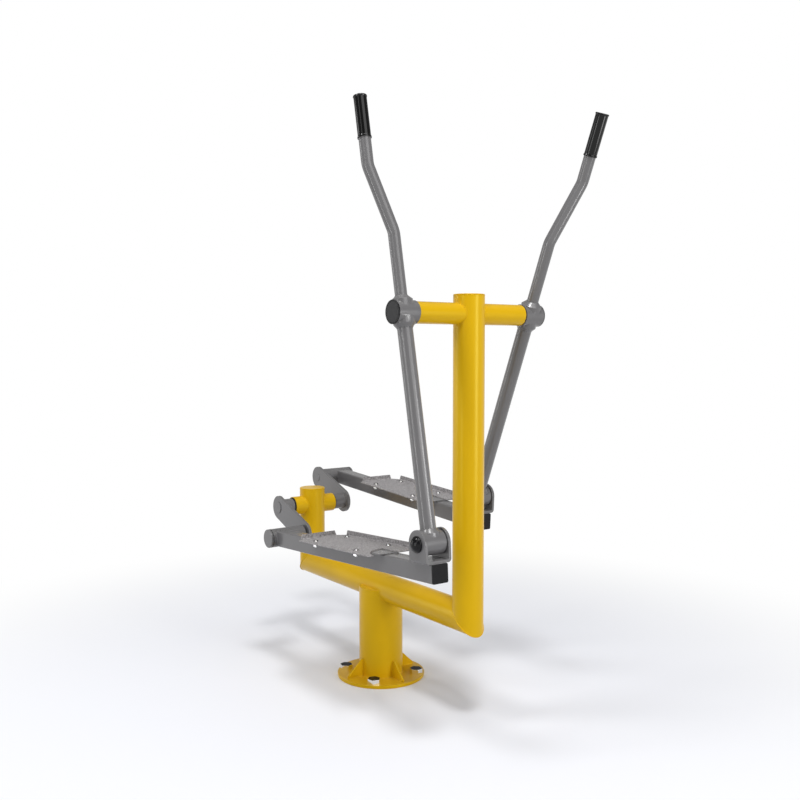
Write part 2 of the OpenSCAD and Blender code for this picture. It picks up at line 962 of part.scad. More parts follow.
// The spindle's journal with its thread, washer and thin nut
module spindle(side) {
    thin_nut_h = nut_h - washer_t;
    nut_af = 1.5 * end_thread_d;
    nut_bore = end_thread_d + 2 * shaft_play;
    washer_in = bush_bearing_out + weld_gap;
    color(steel)
        at_bush(side) {
            rod_x(spindle_d, spindle_in_x, bush_bearing_out);
            rod_x(end_thread_d, bush_bearing_out, bush_bearing_out + nut_h);
            ring_x(spindle_d + 8, nut_bore, washer_in, washer_in + washer_t);
            translate([washer_in + washer_t + weld_gap, 0, 0])
                rotate([0, 90, 0])
                    hex_nut(nut_af, thin_nut_h, nut_bore);
        }
}

module bush_cap(side) {
    cap_in_x = bush_out_x + bush_ring_t;
    edge = 1;
    color(grey)
        at_bush(side) {
            rod_x(bush_d, cap_in_x, cap_in_x + bush_cap_t - edge);
            translate([cap_in_x + bush_cap_t - edge, 0, 0])
                rotate([0, 90, 0])
                    cylinder(d1 = bush_d, d2 = bush_d - 2 * edge, h = edge);
        }
}

// Rubber rings: at the crank arm, behind the bush cap, and beside the knuckle in the clevis
module bar_seals(side) {
    color(black) {
        at_bush(side) {
            ring_x(bush_d - 2 * lip, spindle_d, spindle_in_x, bush_in_x);
            ring_x(bush_d, small_bearing_d, bush_out_x, bush_out_x + bush_ring_t);
        }
        bar_frame(side)
            both_sides()
                ring_x(barrel_d - 2 * lip, pivot_bolt_d, ear_in - ear_washer_t, ear_in);
    }
}

// Foot plates, the same hand on both sides

bar_top = bar_w / 2 - pivot_rise;
strap_top = bar_top + strap_t;
plate_top = strap_top + plate_t;
plate_mid = (plate_right - plate_left) / 2;

module bolt_places()
    for (sx = [-1, 1], pair = [0, 1])
        translate([plate_mid + sx * plate_bolt_gauge / 2,
            plate_bolt_front - bar_nose + pair * plate_bolt_pitch, 0])
            children();

// Cross straps welded on the bar; the front one reaches ahead under the plate's front edge
module plate_straps(side) {
    hole_d = plate_bolt_d + 2 * hole_play;
    overlap = plate_bolt_d;
    strap_left = plate_mid - plate_bolt_gauge / 2 - overlap;
    strap_right = plate_mid + plate_bolt_gauge / 2 + overlap;
    front_y0 = plate_front - bar_nose;
    bolt_y = plate_bolt_front - bar_nose;
    rear_bolt_y = bolt_y + plate_bolt_pitch;
    tongue_left = -0.8 * bar_w;
    color(grey)
        bar_frame(side)
            translate([0, 0, bar_top])
                difference() {
                    union() {
                        linear_extrude(strap_t)
                            polygon([[tongue_left, front_y0], [strap_right, front_y0],
                                [strap_right, bolt_y + 1.5 * overlap],
                                [strap_left, bolt_y + 1.5 * overlap],
                                [strap_left, bolt_y - 1.5 * overlap],
                                [tongue_left, bolt_y - 2 * overlap]]);
                        translate([strap_left, rear_bolt_y - 1.5 * overlap, 0])
                            cube([strap_right - strap_left, 3 * overlap, strap_t]);
                    }
                    translate([0, 0, -cut])
                        bolt_places()
                            cylinder(d = hole_d, h = strap_t + 2 * cut);
                }
}

// An upright fold along +X from the origin: the bend and the edge, trimmed to slanted ends
module fold(len, start_slant, end_slant) {
    inner_r = 2;
    outer_r = inner_r + plate_t;
    height = plate_t + fold_h;
    intersection() {
        rotate([90, 0, 90])
            linear_extrude(len) {
                translate([outer_r - plate_t, outer_r])
                    square([plate_t, height - outer_r]);
                intersection() {
                    translate([0, outer_r])
                        difference() {
                            circle(r = outer_r);
                            circle(r = inner_r);
                        }
                    square([outer_r, outer_r]);
                }
            }
        rotate([90, 0, 0])
            translate([0, 0, -2 * outer_r])
                linear_extrude(4 * outer_r)
                    polygon([[0, 0], [len, 0], [len, plate_t], [len - end_slant, height],
                        [start_slant, height], [0, plate_t]]);
    }
}

// Folded tread: a plate with a scooped front corner, a raised rear edge and a raised side edge
module foot_plate(side) {
    hole_d = plate_bolt_d + 2 * hole_play;
    bend = 2 + plate_t;
    y0 = plate_front - bar_nose;
    y1 = plate_rear - bar_nose;
    corner = 26;
    tab = 15;
    scoop_r = 94;
    scoop_x = 25;
    side_start = 20;
    rear_start = 13;
    side_from = y0 + side_start;
    side_to = y1 - corner;
    rear_from = rear_start - plate_left;
    rear_to = plate_right - corner;
    color(plate_grey)
        bar_frame(side)
            translate([0, 0, strap_top]) {
                difference() {
                    linear_extrude(plate_t)
                        difference() {
                            polygon([[-plate_left, y0 - tab / 2], [-plate_left + tab, y0 - tab],
                                [plate_right - bend - tab, y0], [plate_right - bend, y0 + tab],
                                [plate_right - bend, side_to],
                                [plate_right - corner, y1 - bend],
                                [rear_from, y1 - bend], [-plate_left, y1 - 2 * bend]]);
                            intersection() {
                                translate([scoop_x, y0 - scoop_x])
                                    circle(r = scoop_r);
                                translate([-plate_left, y0 - scoop_r])
                                    square([plate_left + scoop_x / 2, 2 * scoop_r]);
                            }
                        }
                    translate([0, 0, -cut])
                        bolt_places()
                            cylinder(d = hole_d, h = plate_t + 2 * cut);
                }
                translate([rear_from, y1 - bend, 0])
                    fold(rear_to - rear_from, bend, bend);
                translate([plate_right - bend, side_to, 0])
                    rotate([0, 0, -90])
                        fold(side_to - side_from, bend, bend);
            }
}

// Button-headed bolts through plate and straps, nuts underneath
module plate_bolts(side) {
    head_d = 1.7 * plate_bolt_d;
    head_h = 0.4 * plate_bolt_d;
    plate_nut_h = 0.8 * plate_bolt_d;
    shank_from = bar_top - plate_nut_h - 3 * lip;
    color(steel)
        bar_frame(side)
            bolt_places() {
                translate([0, 0, plate_top])
                    cylinder(d1 = head_d, d2 = plate_bolt_d, h = head_h);
                translate([0, 0, shank_from])
                    cylinder(d = plate_bolt_d, h = plate_top - shank_from);
                translate([0, 0, bar_top])
                    mirror([0, 0, 1])
                        hex_nut(1.6 * plate_bolt_d, plate_nut_h, plate_bolt_d + 2 * shaft_play);
            }
}

base_flange();
base_post();
base_gussets();
anchor_nuts();
main_beam();
front_post();
rear_post();
post_caps();
crossbar();
hub_axles();
axle_nuts();
crank_housing();
crank_bearings();
shaft_seals();
crank_shaft();
crank_keys();
crank_arm(left);  // left_crank_arm
crank_arm(right);  // right_crank_arm
crank_end_screws();
spindle_roots();
lever_hub(left);  // left_hub
lever_tube(left);  // left_lever_tube
handle(left);  // left_handle
grip(left);  // left_grip
knuckle(left);  // left_knuckle
hub_bearings(left);  // left_hub_bearings
hub_cap(left);  // left_hub_cap
knuckle_bearings(left);  // left_knuckle_bearings
lever_hub(right);  // right_hub
lever_tube(right);  // right_lever_tube
handle(right);  // right_handle
grip(right);  // right_grip
knuckle(right);  // right_knuckle
hub_bearings(right);  // right_hub_bearings
hub_cap(right);  // right_hub_cap
knuckle_bearings(right);  // right_knuckle_bearings
foot_bar(left);  // left_foot_bar
black_caps(left);  // left_black_caps
clevis(left);  // left_clevis
clevis_bolt(left);  // left_clevis_bolt
rear_bush(left);  // left_rear_bush
bush_bearings(left);  // left_bush_bearings
spindle(left);  // left_spindle
bush_cap(left);  // left_bush_cap
bar_seals(left);  // left_bar_seals
plate_straps(left);  // left_plate_straps
foot_plate(left);  // left_foot_plate
plate_bolts(left);  // left_plate_bolts
foot_bar(right);  // right_foot_bar
black_caps(right);  // right_black_caps
clevis(right);  // right_clevis
clevis_bolt(right);  // right_clevis_bolt
rear_bush(right);  // right_rear_bush
bush_bearings(right);  // right_bush_bearings
spindle(right);  // right_spindle
bush_cap(right);  // right_bush_cap
bar_seals(right);  // right_bar_seals
plate_straps(right);  // right_plate_straps
foot_plate(right);  // right_foot_plate
plate_bolts(right);  // right_plate_bolts
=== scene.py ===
import math

import bmesh
import bpy
from mathutils import Matrix, Vector


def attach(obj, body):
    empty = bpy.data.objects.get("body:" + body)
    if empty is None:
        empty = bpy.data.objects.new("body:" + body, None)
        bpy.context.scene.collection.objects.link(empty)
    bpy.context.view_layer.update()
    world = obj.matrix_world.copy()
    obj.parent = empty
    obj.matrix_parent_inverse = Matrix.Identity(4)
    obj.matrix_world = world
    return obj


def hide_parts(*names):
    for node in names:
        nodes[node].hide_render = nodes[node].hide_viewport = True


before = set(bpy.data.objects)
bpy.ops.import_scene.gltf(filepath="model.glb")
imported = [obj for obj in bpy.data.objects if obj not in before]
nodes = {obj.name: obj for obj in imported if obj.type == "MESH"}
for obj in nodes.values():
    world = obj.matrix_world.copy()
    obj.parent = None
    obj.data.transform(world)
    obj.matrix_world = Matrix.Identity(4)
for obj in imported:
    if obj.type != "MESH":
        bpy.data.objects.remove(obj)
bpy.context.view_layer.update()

# The studio: a white sweep of floor that keeps the trainer's shadow, a small lamp overhead that
# draws its streaks, four softer lamps round it, and a world that is white to the camera and shows
# a bright horizon with two tall soft boxes in reflections. The camera is a metre up, front left.
camera_data = bpy.data.cameras.new("camera")
camera_data.lens = 41.52
camera_data.sensor_width = 36.0
camera_data.clip_end = 60.0
camera = bpy.data.objects.new("camera", camera_data)
camera.location = (-1.6509, -2.4369, 1.0536)
camera.rotation_euler = (math.radians(86.81), 0.0, math.radians(-35.32))
bpy.context.scene.collection.objects.link(camera)
bpy.context.scene.camera = camera
bpy.context.scene.view_settings.view_transform = "Standard"


def seen_directly(tree):
    """1 for rays that come from the camera, or by a mirror or a clear body, and 0 for the rest."""
    rays = tree.nodes.new("ShaderNodeLightPath")
    direct = tree.nodes.new("ShaderNodeMath")
    direct.operation = "MAXIMUM"
    either = tree.nodes.new("ShaderNodeMath")
    either.operation = "MAXIMUM"
    tree.links.new(rays.outputs["Is Camera Ray"], direct.inputs[0])
    tree.links.new(rays.outputs["Is Transmission Ray"], direct.inputs[1])
    tree.links.new(direct.outputs["Value"], either.inputs[0])
    tree.links.new(rays.outputs["Is Glossy Ray"], either.inputs[1])
    return either.outputs["Value"]


world = bpy.data.worlds.new("white_studio")
world.use_nodes = True
bpy.context.scene.world = world
sky = world.node_tree
sky.nodes.clear()
sky_place = sky.nodes.new("ShaderNodeTexCoord")
sky_split = sky.nodes.new("ShaderNodeSeparateXYZ")
sky_ramp = sky.nodes.new("ShaderNodeMapRange")
sky_ramp.inputs["From Min"].default_value = -0.1
sky_ramp.inputs["From Max"].default_value = 0.9
sky_ramp.inputs["To Min"].default_value = 0.31
sky_ramp.inputs["To Max"].default_value = 0.62
sky_light = sky.nodes.new("ShaderNodeBackground")
sky_white = sky.nodes.new("ShaderNodeBackground")
sky_white.inputs["Color"].default_value = (1.0, 1.0, 1.0, 1.0)
horizon = sky.nodes.new("ShaderNodeMapRange")
horizon.inputs["From Min"].default_value = 0.0
horizon.inputs["From Max"].default_value = 0.4
horizon.inputs["To Min"].default_value = 1.0
horizon.inputs["To Max"].default_value = 0.22
box_height = sky.nodes.new("ShaderNodeMapRange")
box_height.interpolation_type = "SMOOTHSTEP"
box_height.inputs["From Min"].default_value = 0.10
box_height.inputs["From Max"].default_value = 0.20
sky.links.new(sky_split.outputs["Z"], horizon.inputs["Value"])
sky.links.new(sky_split.outputs["Z"], box_height.inputs["Value"])
mirrored = horizon.outputs["Result"]
box_fade = 1.3
for across, ahead, middle, half, glow in (
    ("X", "Y", 0.06, 0.30, 2.6),
    ("Y", "X", -0.24, 0.07, 2.2),
):
    box_off = sky.nodes.new("ShaderNodeMath")
    box_off.operation = "SUBTRACT"
    box_off.inputs[1].default_value = middle
    box_far = sky.nodes.new("ShaderNodeMath")
    box_far.operation = "ABSOLUTE"
    box_edge = sky.nodes.new("ShaderNodeMapRange")
    box_edge.interpolation_type = "SMOOTHSTEP"
    box_edge.inputs["From Min"].default_value = half
    box_edge.inputs["From Max"].default_value = half * box_fade
    box_edge.inputs["To Min"].default_value = glow
    box_edge.inputs["To Max"].default_value = 0.0
    box_side = sky.nodes.new("ShaderNodeMath")
    box_side.operation = "LESS_THAN"
    box_side.inputs[1].default_value = 0.0
    box_lit = sky.nodes.new("ShaderNodeMath")
    box_lit.operation = "MULTIPLY"
    box_seen = sky.nodes.new("ShaderNodeMath")
    box_seen.operation = "MULTIPLY"
    box_sum = sky.nodes.new("ShaderNodeMath")
    box_sum.operation = "ADD"
    sky.links.new(sky_split.outputs[across], box_off.inputs[0])
    sky.links.new(box_off.outputs["Value"], box_far.inputs[0])
    sky.links.new(box_far.outputs["Value"], box_edge.inputs["Value"])
    sky.links.new(sky_split.outputs[ahead], box_side.inputs[0])
    sky.links.new(box_edge.outputs["Result"], box_lit.inputs[0])
    sky.links.new(box_side.outputs["Value"], box_lit.inputs[1])
    sky.links.new(box_lit.outputs["Value"], box_seen.inputs[0])
    sky.links.new(box_height.outputs["Result"], box_seen.inputs[1])
    sky.links.new(box_seen.outputs["Value"], box_sum.inputs[0])
    sky.links.new(mirrored, box_sum.inputs[1])
    mirrored = box_sum.outputs["Value"]
sky_rays = sky.nodes.new("ShaderNodeLightPath")
sky_reflect = sky.nodes.new("ShaderNodeMath")
sky_reflect.operation = "SUBTRACT"
sky_reflect.inputs[1].default_value = 1.0
sky_white_power = sky.nodes.new("ShaderNodeMath")
sky_white_power.operation = "MULTIPLY_ADD"
sky_white_power.inputs[2].default_value = 1.0
sky.links.new(mirrored, sky_reflect.inputs[0])
sky.links.new(sky_reflect.outputs["Value"], sky_white_power.inputs[0])
sky.links.new(sky_rays.outputs["Is Glossy Ray"], sky_white_power.inputs[1])
sky.links.new(sky_white_power.outputs["Value"], sky_white.inputs["Strength"])
sky_mix = sky.nodes.new("ShaderNodeMixShader")
sky_out = sky.nodes.new("ShaderNodeOutputWorld")
sky.links.new(sky_place.outputs["Generated"], sky_split.inputs["Vector"])
sky.links.new(sky_split.outputs["Z"], sky_ramp.inputs["Value"])
sky.links.new(sky_ramp.outputs["Result"], sky_light.inputs["Strength"])
sky.links.new(seen_directly(sky), sky_mix.inputs["Fac"])
sky.links.new(sky_light.outputs["Background"], sky_mix.inputs[1])
sky.links.new(sky_white.outputs["Background"], sky_mix.inputs[2])
sky.links.new(sky_mix.outputs["Shader"], sky_out.inputs["Surface"])

lamp_target = Vector((0.0, 0.0, 0.5))
for lamp_name, lamp_place, lamp_width, lamp_height, lamp_power in (
    ("overhead_lamp", (-0.75, -1.8, 4.4), 0.8, 0.8, 76.0),
    ("left_lamp", (-2.0, 0.45, 4.3), 1.0, 1.0, 44.0),
    ("front_softbox", (1.2, -3.9, 1.0), 1.2, 2.0, 60.0),
    ("left_strip", (-3.9, -0.6, 1.0), 0.4, 2.0, 20.0),
    ("back_softbox", (-3.1, 2.7, 1.5), 0.6, 2.6, 24.0),
):
    lamp_data = bpy.data.lights.new(lamp_name, "AREA")
    lamp_data.shape = "RECTANGLE"
    lamp_data.size = lamp_width
    lamp_data.size_y = lamp_height
    lamp_data.energy = lamp_power
    lamp = bpy.data.objects.new(lamp_name, lamp_data)
    lamp.location = lamp_place
    aim = lamp_target - lamp.location
    lamp.rotation_euler = aim.to_track_quat("-Z", "Y").to_euler()
    bpy.context.scene.collection.objects.link(lamp)

floor_mesh = bpy.data.meshes.new("floor")
floor_build = bmesh.new()
bmesh.ops.create_circle(floor_build, cap_ends=True, radius=24.0, segments=96)
floor_build.to_mesh(floor_mesh)
floor_build.free()
floor = bpy.data.objects.new("floor", floor_mesh)
bpy.context.scene.collection.objects.link(floor)
floor_paint = bpy.data.materials.new("studio_floor")
floor_paint.use_nodes = True
sweep = floor_paint.node_tree
sweep.nodes.clear()
floor_seen = seen_directly(sweep)
floor_tone = sweep.nodes.new("ShaderNodeMix")
floor_tone.data_type = "RGBA"
floor_tone.inputs["A"].default_value = (0.60, 0.61, 0.66, 1.0)
floor_tone.inputs["B"].default_value = (0.865, 0.877, 0.925, 1.0)
floor_coat = sweep.nodes.new("ShaderNodeBsdfDiffuse")
floor_power = sweep.nodes.new("ShaderNodeMapRange")
floor_power.inputs["To Min"].default_value = 0.62
floor_power.inputs["To Max"].default_value = 1.0
floor_glow = sweep.nodes.new("ShaderNodeEmission")
floor_place = sweep.nodes.new("ShaderNodeTexCoord")
floor_far = sweep.nodes.new("ShaderNodeVectorMath")
floor_far.operation = "LENGTH"
floor_fade = sweep.nodes.new("ShaderNodeMapRange")
floor_fade.interpolation_type = "SMOOTHSTEP"
floor_fade.inputs["From Min"].default_value = 0.6
floor_fade.inputs["From Max"].default_value = 2.1
floor_mix = sweep.nodes.new("ShaderNodeMixShader")
floor_out = sweep.nodes.new("ShaderNodeOutputMaterial")
sweep.links.new(floor_seen, floor_tone.inputs["Factor"])
sweep.links.new(floor_tone.outputs["Result"], floor_coat.inputs["Color"])
sweep.links.new(floor_seen, floor_power.inputs["Value"])
sweep.links.new(floor_power.outputs["Result"], floor_glow.inputs["Strength"])
sweep.links.new(floor_place.outputs["Object"], floor_far.inputs[0])
sweep.links.new(floor_far.outputs["Value"], floor_fade.inputs["Value"])
sweep.links.new(floor_fade.outputs["Result"], floor_mix.inputs["Fac"])
sweep.links.new(floor_coat.outputs["BSDF"], floor_mix.inputs[1])
sweep.links.new(floor_glow.outputs["Emission"], floor_mix.inputs[2])
sweep.links.new(floor_mix.outputs["Shader"], floor_out.inputs["Surface"])
floor_mesh.materials.append(floor_paint)

# The welded base: a round flange, a short wide post and four gussets, cut from plate and tube,
# welded and powder coated yellow as one frame. The coat is smooth, with a faint orange peel.
powder = bpy.data.node_groups.new("powder_coat", "ShaderNodeTree")
for socket_name, socket_kind, socket_value in (
    ("Colour", "NodeSocketColor", (0.5, 0.5, 0.5, 1.0)),
    ("Mottle", "NodeSocketFloat", 0.04),
    ("Gloss", "NodeSocketFloat", 0.35),
    ("Dust", "NodeSocketFloat", 0.1),
):
    socket = powder.interface.new_socket(socket_name, in_out="INPUT", socket_type=socket_kind)
    socket.default_value = socket_value
powder.interface.new_socket("Colour", in_out="OUTPUT", socket_type="NodeSocketColor")
powder.interface.new_socket("Roughness", in_out="OUTPUT", socket_type="NodeSocketFloat")
powder.interface.new_socket("Height", in_out="OUTPUT", socket_type="NodeSocketFloat")
powder_in = powder.nodes.new("NodeGroupInput")
powder_out = powder.nodes.new("NodeGroupOutput")
powder_place = powder.nodes.new("ShaderNodeTexCoord")
cloud = powder.nodes.new("ShaderNodeTexNoise")
cloud.inputs["Scale"].default_value = 7.0
cloud.inputs["Detail"].default_value = 4.0
peel = powder.nodes.new("ShaderNodeTexNoise")
peel.inputs["Scale"].default_value = 420.0
peel.inputs["Detail"].default_value = 2.0
cloud_shift = powder.nodes.new("ShaderNodeMapRange")
cloud_shift.inputs["To Min"].default_value = -1.0
cloud_shift.inputs["To Max"].default_value = 1.0
cloud_gain = powder.nodes.new("ShaderNodeMath")
cloud_gain.operation = "MULTIPLY_ADD"
cloud_gain.inputs[2].default_value = 1.0
tone = powder.nodes.new("ShaderNodeHueSaturation")
lying = powder.nodes.new("ShaderNodeNewGeometry")
lying_split = powder.nodes.new("ShaderNodeSeparateXYZ")
lying_up = powder.nodes.new("ShaderNodeMapRange")
lying_up.inputs["From Min"].default_value = 0.3
lying_up.inputs["From Max"].default_value = 1.0
lying_dust = powder.nodes.new("ShaderNodeMath")
lying_dust.operation = "MULTIPLY"
dust_patches = powder.nodes.new("ShaderNodeMath")
dust_patches.operation = "MULTIPLY"
dusty = powder.nodes.new("ShaderNodeMix")
dusty.data_type = "RGBA"
dusty.inputs["B"].default_value = (0.62, 0.58, 0.5, 1.0)
dull = powder.nodes.new("ShaderNodeMath")
dull.operation = "ADD"
powder.links.new(powder_place.outputs["Object"], cloud.inputs["Vector"])
powder.links.new(powder_place.outputs["Object"], peel.inputs["Vector"])
powder.links.new(cloud.outputs["Fac"], cloud_shift.inputs["Value"])
powder.links.new(cloud_shift.outputs["Result"], cloud_gain.inputs[0])
powder.links.new(powder_in.outputs["Mottle"], cloud_gain.inputs[1])
powder.links.new(cloud_gain.outputs["Value"], tone.inputs["Value"])
powder.links.new(powder_in.outputs["Colour"], tone.inputs["Color"])
powder.links.new(lying.outputs["Normal"], lying_split.inputs["Vector"])
powder.links.new(lying_split.outputs["Z"], lying_up.inputs["Value"])
powder.links.new(lying_up.outputs["Result"], lying_dust.inputs[0])
powder.links.new(powder_in.outputs["Dust"], lying_dust.inputs[1])
powder.links.new(lying_dust.outputs["Value"], dust_patches.inputs[0])
powder.links.new(cloud.outputs["Fac"], dust_patches.inputs[1])
powder.links.new(dust_patches.outputs["Value"], dusty.inputs["Factor"])
powder.links.new(tone.outputs["Color"], dusty.inputs["A"])
powder.links.new(dust_patches.outputs["Value"], dull.inputs[0])
powder.links.new(powder_in.outputs["Gloss"], dull.inputs[1])
powder.links.new(dusty.outputs["Result"], powder_out.inputs["Colour"])
powder.links.new(dull.outputs["Value"], powder_out.inputs["Roughness"])
powder.links.new(peel.outputs["Fac"], powder_out.inputs["Height"])


def coated(name, colour, mottle, gloss, dust, peel_depth, shine=0.5, sheen=(1.0, 1.0, 1.0)):
    """A powder-coated or moulded surface: even colour, faint mottle, dust where it faces up."""
    paint = bpy.data.materials.new(name)
    paint.use_nodes = True
    tree = paint.node_tree
    surface = tree.nodes["Principled BSDF"]
    surface.inputs["Specular IOR Level"].default_value = shine
    surface.inputs["Specular Tint"].default_value = (*sheen, 1.0)
    finish = tree.nodes.new("ShaderNodeGroup")
    finish.node_tree = powder
    finish.inputs["Colour"].default_value = (*colour, 1.0)
    finish.inputs["Mottle"].default_value = mottle
    finish.inputs["Gloss"].default_value = gloss
    finish.inputs["Dust"].default_value = dust
    relief = tree.nodes.new("ShaderNodeBump")
    relief.inputs["Strength"].default_value = 1.0
    relief.inputs["Distance"].default_value = peel_depth
    tree.links.new(finish.outputs["Colour"], surface.inputs["Base Color"])
    tree.links.new(finish.outputs["Roughness"], surface.inputs["Roughness"])
    tree.links.new(finish.outputs["Height"], relief.inputs["Height"])
    tree.links.new(relief.outputs["Normal"], surface.inputs["Normal"])
    return paint


yellow_coat = coated("yellow_coat", (0.665, 0.394, 0.005), 0.05, 0.28, 0.04, 0.00001, 0.35,
                     (0.9, 1.0, 0.25))


def finished(node, paint):
    """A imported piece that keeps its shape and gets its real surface."""
    nodes[node].data.materials.clear()
    nodes[node].data.materials.append(paint)


def soft_edged(node, edge, paint, body, sharp_over=32.0):
    """The same piece with its cut edges rounded off, as grinding and coating leave them."""
    same_point = 0.000004
    flat_within = math.radians(0.4)
    mesh = nodes[node].data.copy()
    mesh.name = node + "_soft"
    shape = bmesh.new()
    shape.from_mesh(mesh)
    bmesh.ops.remove_doubles(shape, verts=shape.verts, dist=same_point)
    bmesh.ops.dissolve_limit(shape, angle_limit=flat_within, verts=shape.verts,
                             edges=shape.edges, delimit={"NORMAL"})
    bmesh.ops.recalc_face_normals(shape, faces=shape.faces)
    for face in shape.faces:
        face.smooth = True
    shape.to_mesh(mesh)
    shape.free()
    if mesh.attributes.get("custom_normal"):
        mesh.attributes.remove(mesh.attributes["custom_normal"])
    mesh.materials.clear()
    mesh.materials.append(paint)
    piece = bpy.data.objects.new(node + "_soft", mesh)
    bpy.context.scene.collection.objects.link(piece)
    rounding = piece.modifiers.new("rounded_edges", "BEVEL")
    rounding.limit_method = "ANGLE"
    rounding.angle_limit = math.radians(sharp_over)
    rounding.width = edge
    rounding.segments = 3
    rounding.miter_outer = "MITER_ARC"
    rounding.use_clamp_overlap = True
    flats = piece.modifiers.new("flat_faces_stay_flat", "WEIGHTED_NORMAL")
    flats.keep_sharp = True
    flats.weight = 80
    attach(piece, body)
    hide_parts(node)
    return piece


def weld_bead(name, runs, bead_r, paint, body):
    """Rippled fillet welds along the given runs, each a list of points and whether it closes."""
    sides = 8
    ripple = 0.0038
    rings_per_ripple = 3
    fewest_rings = 6
    ripple_rise = 0.09
    end_size = 0.35
    end_growth = 0.3
    bead = bmesh.new()
    for points, closes in runs:
        spots = [Vector(p) for p in points]
        if closes:
            spots.append(spots[0].copy())
        lengths = [(b - a).length for a, b in zip(spots, spots[1:])]
        total = sum(lengths)
        count = max(fewest_rings, int(total / (ripple / rings_per_ripple)))
        path = []
        leg, done = 0, 0.0
        for i in range(count + (0 if closes else 1)):
            want = total * i / count
            while leg < len(lengths) - 1 and want > done + lengths[leg]:
                done += lengths[leg]
                leg += 1
            path.append(spots[leg].lerp(spots[leg + 1], (want - done) / lengths[leg]))
        rings = []
        across = None
        for i, spot in enumerate(path):
            ahead = path[(i + 1) % len(path)] if closes else path[min(i + 1, len(path) - 1)]
            behind = path[i - 1] if closes or i else path[0]
            along = (ahead - behind).normalized()
            if across is None:
                across = along.orthogonal().normalized()
            across = (across - along * across.dot(along)).normalized()
            other = along.cross(across)
            swell = bead_r * (1 + ripple_rise * math.sin(2 * math.pi * total * i / count / ripple))
            from_end = min(i, len(path) - 1 - i)
            ends = 1.0 if closes else min(1.0, end_size + end_growth * from_end)
            rings.append([bead.verts.new(spot + (across * math.cos(a) + other * math.sin(a))
                                         * swell * ends)
                          for a in [2 * math.pi * k / sides for k in range(sides)]])
        pairs = list(zip(rings, rings[1:] + rings[:1])) if closes else list(zip(rings, rings[1:]))
        for first, second in pairs:
            for k in range(sides):
                n = (k + 1) % sides
                bead.faces.new((first[k], first[n], second[n], second[k]))
        if not closes:
            bead.faces.new(list(reversed(rings[0])))
            bead.faces.new(rings[-1])
    bmesh.ops.recalc_face_normals(bead, faces=bead.faces)
    for face in bead.faces:
        face.smooth = True
    mesh = bpy.data.meshes.new(name)
    bead.to_mesh(mesh)
    bead.free()
    mesh.materials.append(paint)
    piece = bpy.data.objects.new(name, mesh)
    bpy.context.scene.collection.objects.link(piece)
    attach(piece, body)
    return piece


def turn(angle, radius, middle=(0.0, 0.0)):
    """A point on a circle, from its angle in degrees."""
    return (middle[0] + radius * math.cos(math.radians(angle)),
            middle[1] + radius * math.sin(math.radians(angle)))


flange_top = 0.010
base_r = 0.06985
tube_r = 0.04445
beam_z = 0.290
gusset_half = 0.003
gusset_foot = (0.003, 0.054)
gusset_back = (0.004, 0.047)
base_bead = 0.0021
soft_edged("base_flange", 0.0012, yellow_coat, "frame")
soft_edged("base_gussets", 0.0008, yellow_coat, "frame")
soft_edged("base_post", 0.0008, yellow_coat, "frame")
base_runs = [([(*turn(a, base_r), flange_top) for a in range(0, 360, 6)], True)]
for quarter in range(4):
    spin = Matrix.Rotation(math.radians(90 * quarter), 3, "Z")
    for face_side in (-1, 1):
        edge_y = face_side * gusset_half
        base_runs.append(([spin @ Vector((base_r + out, edge_y, flange_top))
                           for out in gusset_foot], False))
        base_runs.append(([spin @ Vector((base_r, edge_y, flange_top + up))
                           for up in gusset_back], False))
saddle = []
for a in range(-180, 180, 5):
    x, y = turn(a, base_r)
    inside = abs(x) < tube_r
    drop = math.sqrt(tube_r ** 2 - x ** 2) if inside else 0.0
    if inside:
        saddle.append((x, y, beam_z - drop))
    else:
        saddle.append((math.copysign(tube_r, x), y, beam_z))
base_runs.append((saddle, True))
weld_bead("base_welds", base_runs, base_bead, yellow_coat, "frame")

# The frame above the base: one beam with an upright tube mitred and welded to each end, the tall
# one in front for the crossbar and the short one behind for the crank. Welded discs close both, and
# half-moon plates close the base post beside the beam. The same yellow coat runs over all of it.
post_y = 0.440
front_top = 1.205
rear_top = 0.555
cap_thick = 0.004
crossbar_z = 1.150
crossbar_r = 0.03015
crank_z = 0.495
housing_r = 0.03175
frame_bead = 0.0017
seam_bead = 0.0006
seam_inset = 0.0002
for node in ("main_beam", "front_post", "rear_post", "crossbar", "crank_housing"):
    finished(node, yellow_coat)
soft_edged("post_caps", 0.0022, yellow_coat, "frame")
frame_runs = []
for end in (-1, 1):
    frame_runs.append(([(turn(a, tube_r)[0], end * post_y + turn(a, tube_r)[1],
                         beam_z - end * turn(a, tube_r)[1]) for a in range(0, 360, 8)], True))
for end, z, branch_r in ((-1, crossbar_z, crossbar_r), (1, crank_z, housing_r)):
    for side in (-1, 1):
        run = []
        for a in range(0, 360, 10):
            dy, dz = turn(a, branch_r)
            run.append((side * math.sqrt(tube_r ** 2 - dy ** 2), end * post_y + dy, z + dz))
        frame_runs.append((run, True))
weld_bead("frame_welds", frame_runs, frame_bead, yellow_coat, "frame")
seam_runs = [([(*turn(a, tube_r - seam_inset, (0.0, y)), z - cap_thick)
               for a in range(0, 360, 8)], True)
             for y, z in ((-post_y, front_top), (post_y, rear_top))]
weld_bead("cap_seams", seam_runs, seam_bead, yellow_coat, "frame")

